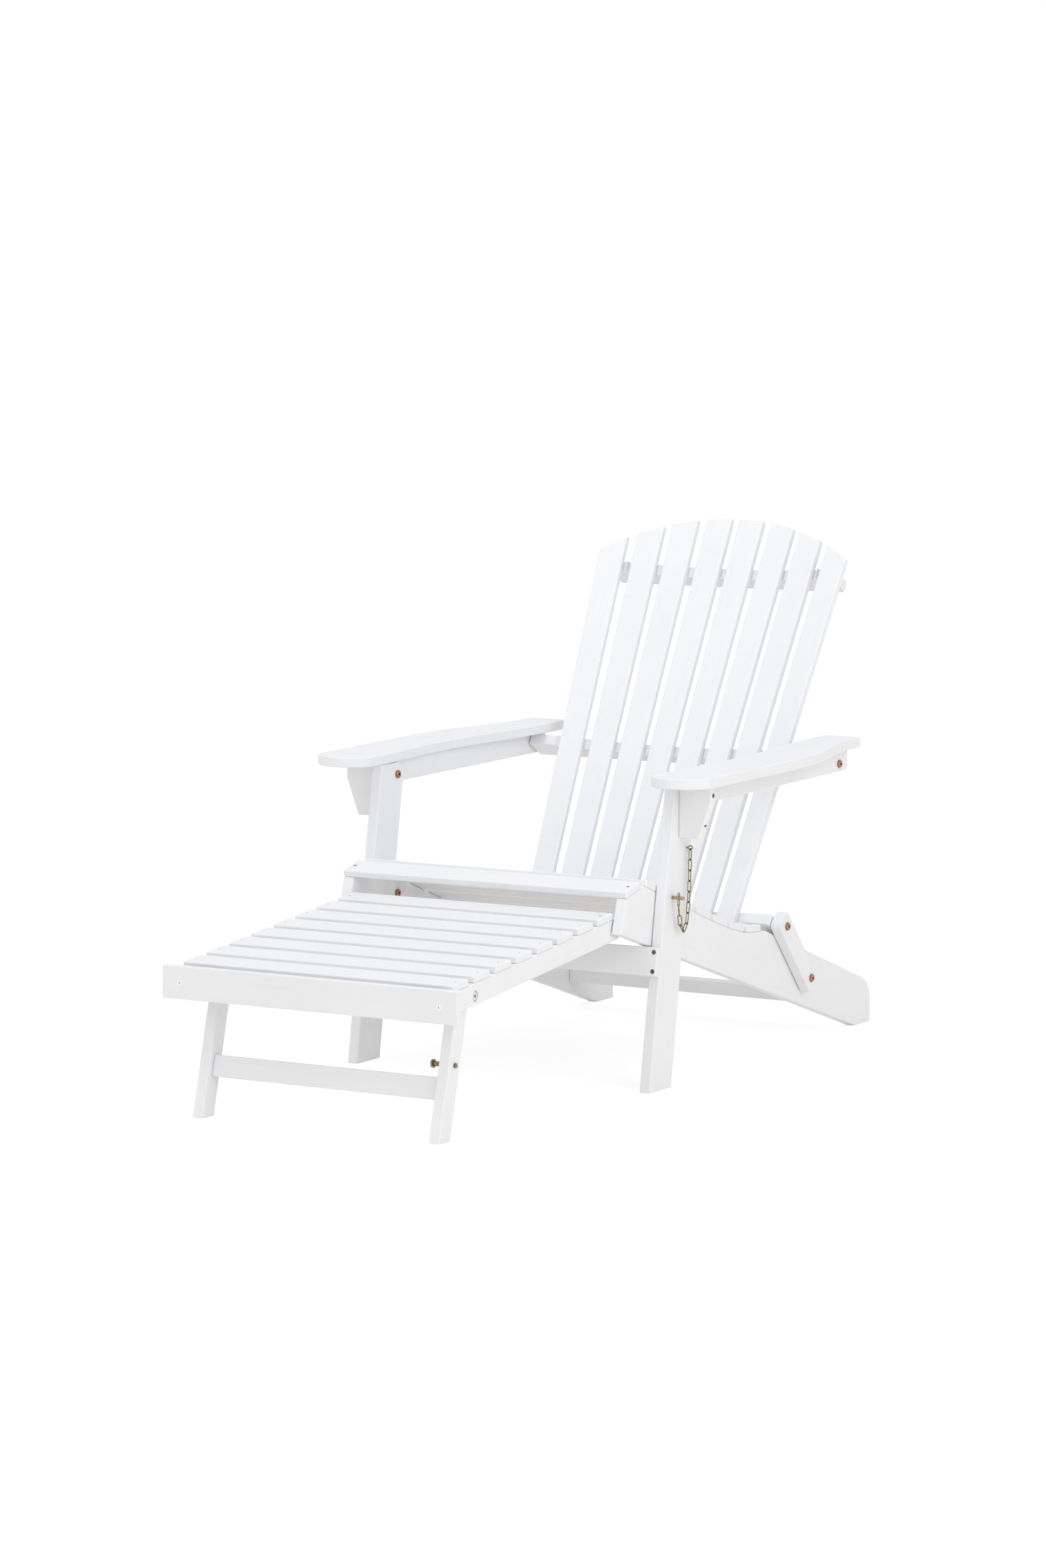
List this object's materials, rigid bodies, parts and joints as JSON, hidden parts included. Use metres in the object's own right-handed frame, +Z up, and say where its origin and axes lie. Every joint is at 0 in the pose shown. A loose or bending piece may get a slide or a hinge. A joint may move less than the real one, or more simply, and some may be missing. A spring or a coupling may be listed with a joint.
{
  "type": "folding adirondack chair",
  "caption": "Folding adirondack chair in white painted wood with a slatted reclined back, flat arms, scooped seat and a pull-out slatted footrest on folding legs.",
  "frame": {"origin": "on the floor, in the middle plane, half way along the chair with its footrest pulled out", "axes": "+Z up, the sitter faces -Y, X runs across the chair"},
  "size_m": [0.7802, 1.454, 0.905],
  "materials": {
    "white_wood": "satin white paint over wood",
    "copper_bolt": "copper-coloured plating",
    "yellow_zinc": "yellow zinc plating",
    "steel_screw": "plain steel"
  },
  "bodies": {
    "seat_frame": {"side_rail_left": "white_wood", "side_rail_right": "white_wood", "seat_slat_1": "white_wood", "seat_slat_2": "white_wood", "seat_slat_3": "white_wood", "seat_slat_4": "white_wood", "seat_slat_5": "white_wood", "seat_slat_6": "white_wood", "seat_slat_7": "white_wood", "seat_slat_8": "white_wood", "seat_slat_screws": "steel_screw", "rear_stretcher": "white_wood", "leg_pivot_bolts": "copper_bolt", "link_rail_bolts": "copper_bolt"},
    "front_legs": {"front_leg_left": "white_wood", "front_leg_right": "white_wood", "front_cross_board": "white_wood", "cross_board_screws": "steel_screw", "corbel_left": "white_wood", "corbel_right": "white_wood", "corbel_screws": "steel_screw", "arm_pivot_bolts": "copper_bolt", "chain_eyes": "yellow_zinc", "chain_left": "yellow_zinc", "chain_right": "yellow_zinc"},
    "arms": {"arm_left": "white_wood", "arm_right": "white_wood", "arm_rail_left": "white_wood", "arm_rail_right": "white_wood", "arm_back_bolts": "copper_bolt"},
    "links": {"link_left": "white_wood", "link_right": "white_wood", "link_back_bolts": "copper_bolt"},
    "back": {"back_slat_1": "white_wood", "back_slat_2": "white_wood", "back_slat_3": "white_wood", "back_slat_4": "white_wood", "back_slat_5": "white_wood", "back_slat_6": "white_wood", "back_slat_7": "white_wood", "back_slat_8": "white_wood", "back_top_rail": "white_wood", "back_mid_rail": "white_wood", "back_bottom_rail": "white_wood"},
    "footrest": {"footrest_rail_left": "white_wood", "footrest_rail_right": "white_wood", "footrest_slats": "white_wood", "footrest_slat_screws": "steel_screw", "footrest_fascia": "white_wood", "fascia_screws": "steel_screw", "footrest_leg_bolts": "steel_screw", "footrest_guide_pins": "copper_bolt"},
    "footrest_legs": {"footrest_leg_left": "white_wood", "footrest_leg_right": "white_wood", "footrest_leg_stretcher": "white_wood", "footrest_stop_bolt": "yellow_zinc"},
    "lock_pin_left": {"lock_pin_left": "yellow_zinc"},
    "lock_pin_right": {"lock_pin_right": "yellow_zinc"}
  },
  "joints": [
    {"name": "leg_fold", "type": "hinge", "parent": "seat_frame", "child": "front_legs", "pos_m": [0, -0.041, 0.288], "axis": [1, 0, 0], "range_deg": [0, 62]},
    {"name": "arm_fold", "type": "hinge", "parent": "back", "child": "arms", "pos_m": [0, 0.508, 0.4935], "axis": [1, 0, 0], "range_deg": [-99.1, 0]},
    {"name": "link_swing", "type": "hinge", "parent": "seat_frame", "child": "links", "pos_m": [0, 0.4468, 0.1175], "axis": [1, 0, 0], "range_deg": [-108, 0]},
    {"name": "back_fold", "type": "hinge", "parent": "links", "child": "back", "pos_m": [0, 0.35372, 0.22104], "axis": [1, 0, 0], "range_deg": [0, 197.5]},
    {"name": "footrest_slide", "type": "slide", "parent": "seat_frame", "child": "footrest", "axis": [0, 1, 0], "range_m": [0, 0.115]},
    {"name": "footrest_leg_fold", "type": "hinge", "parent": "footrest", "child": "footrest_legs", "pos_m": [0, -0.633, 0.229], "axis": [1, 0, 0], "range_deg": [0, 100]},
    {"name": "lock_pin_left_pull", "type": "slide", "parent": "front_legs", "child": "lock_pin_left", "axis": [-1, 0, 0], "range_m": [0, 0.03]},
    {"name": "lock_pin_right_pull", "type": "slide", "parent": "front_legs", "child": "lock_pin_right", "axis": [1, 0, 0], "range_m": [0, 0.03]}
  ],
  "couplings": [
    {"joint": "arm_fold", "follows": "leg_fold", "ratio": -1.5979},
    {"joint": "link_swing", "follows": "leg_fold", "ratio": -1.7411},
    {"joint": "back_fold", "follows": "leg_fold", "ratio": 3.1835}
  ]
}
